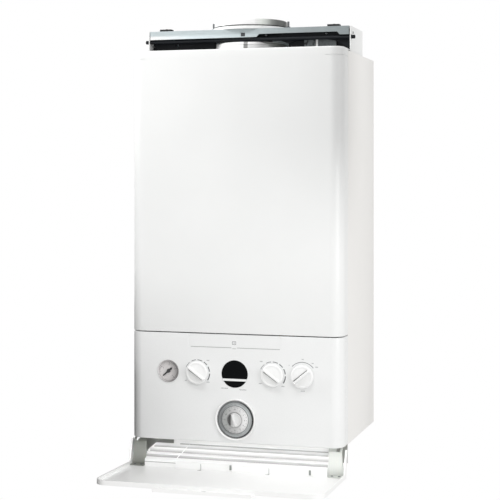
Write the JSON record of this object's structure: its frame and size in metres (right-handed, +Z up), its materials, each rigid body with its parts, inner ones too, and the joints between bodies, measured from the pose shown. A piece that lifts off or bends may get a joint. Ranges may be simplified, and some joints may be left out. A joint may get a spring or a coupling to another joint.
{
  "type": "combi boiler",
  "caption": "Wall-hung combi boiler: white casing, control fascia with dials behind a drop-down flap, flue turret on top and pipe tails underneath.",
  "frame": {"origin": "centre of the wall bracket's flat back face, 670 mm above the bottom of the casing", "axes": "+X to the right seen from the front, +Y into the wall, +Z up"},
  "size_m": [0.403, 0.4717, 0.8219],
  "materials": {
    "white_paint": "semi-gloss white powder coat",
    "white_paint_side": "semi-gloss white powder coat",
    "white_plastic": "moulded white plastic, satin gloss",
    "dark_plastic": "moulded dark plastic",
    "black_plastic": "gloss black plastic",
    "black_paint": "black paint",
    "rubber_black": "matt black rubber",
    "galvanised": "galvanised sheet with fine spangle",
    "brushed_steel": "stainless steel",
    "fastener_steel": "dark plated steel",
    "aluminium": "brushed aluminium",
    "timer_grey": "silver-grey plastic",
    "dial_grey": "pale grey plastic",
    "gauge_rim": "grey plastic",
    "gauge_face": "matt printed face",
    "lens_clear": "clear lens",
    "copper": "bare copper",
    "cast_grey": "grey casting",
    "vessel_red": "red paint",
    "arm_grey": "grey-green painted steel"
  },
  "bodies": {
    "boiler": {"wall_bracket": "galvanised", "back_panel": "galvanised", "frame_post_left": "white_paint", "frame_post_right": "white_paint", "top_rail": "galvanised", "top_plate": "galvanised", "casing_hanger_rod": "black_paint", "rail_pad_left": "rubber_black", "rail_pad_right": "rubber_black", "top_baffle": "black_paint", "harness_bracket": "galvanised", "turret_base": "white_paint", "turret_gasket": "rubber_black", "flue_turret": "white_paint", "flue_inner_spigot": "aluminium", "turret_stud_left": "fastener_steel", "turret_stud_right": "fastener_steel", "exhaust_collar": "aluminium", "front_casing": "white_paint", "side_panel_left": "white_paint_side", "side_panel_right": "white_paint_side", "bottom_panel": "galvanised", "tail_heating_flow": "copper", "tail_hot_water": "copper", "tail_gas": "copper", "tail_cold_inlet": "copper", "tail_heating_return": "copper", "control_fascia": "white_plastic", "control_box": "dark_plastic", "gauge_housing": "gauge_rim", "gauge_dial": "gauge_face", "gauge_lens": "lens_clear", "display_window": "black_plastic", "display_divider": "white_plastic", "timer_bezel": "white_plastic", "timer_body": "timer_grey", "expansion_vessel": "vessel_red", "heat_exchanger": "aluminium", "burner_door": "cast_grey", "fan_housing": "cast_grey", "fan_motor": "dark_plastic", "gas_valve": "aluminium", "gas_pipe": "copper", "pump_body": "cast_grey", "plate_heat_exchanger": "brushed_steel", "flow_pipe": "copper", "return_pipe": "copper", "condensate_trap": "white_plastic", "hinge_bracket_left": "galvanised", "hinge_bracket_right": "galvanised"},
    "flap": {"lower_flap": "white_plastic", "flap_arm_left": "arm_grey", "flap_arm_right": "arm_grey"},
    "hot_water_control": {"hot_water_knob": "white_plastic"},
    "heating_control": {"heating_knob": "white_plastic"},
    "mode_control": {"mode_knob": "white_plastic"},
    "needle": {"gauge_needle": "black_plastic"},
    "clock_dial": {"timer_dial": "dial_grey"},
    "clock_knob": {"timer_knob": "dial_grey"},
    "impeller": {"fan_impeller": "dark_plastic"}
  },
  "joints": [
    {"name": "flap_hinge", "type": "hinge", "parent": "boiler", "child": "flap", "pos_m": [0, -0.263, -0.682], "axis": [-1, 0, 0], "range_deg": [0, 89]},
    {"name": "hot_water_turn", "type": "hinge", "parent": "boiler", "child": "hot_water_control", "pos_m": [-0.0693, -0.283, -0.547], "axis": [0, 1, 0], "range_deg": [-252, 0]},
    {"name": "heating_turn", "type": "hinge", "parent": "boiler", "child": "heating_control", "pos_m": [0.071, -0.283, -0.546], "axis": [0, 1, 0], "range_deg": [-252, 0]},
    {"name": "mode_turn", "type": "hinge", "parent": "boiler", "child": "mode_control", "pos_m": [0.1256, -0.283, -0.546], "axis": [0, 1, 0], "range_deg": [-103, 0]},
    {"name": "needle_turn", "type": "hinge", "parent": "boiler", "child": "needle", "pos_m": [-0.125, -0.283, -0.546], "axis": [0, 1, 0], "range_deg": [0, 270]},
    {"name": "clock_dial_turn", "type": "hinge", "parent": "boiler", "child": "clock_dial", "pos_m": [0.003, -0.283, -0.6275], "axis": [0, 1, 0], "continuous": true},
    {"name": "clock_knob_turn", "type": "hinge", "parent": "boiler", "child": "clock_knob", "pos_m": [0.003, -0.283, -0.6275], "axis": [0, 1, 0], "range_deg": [-40, 40]},
    {"name": "fan_spin", "type": "hinge", "parent": "boiler", "child": "impeller", "pos_m": [0.136, -0.142, -0.095], "axis": [0, 0, 1], "continuous": true}
  ]
}
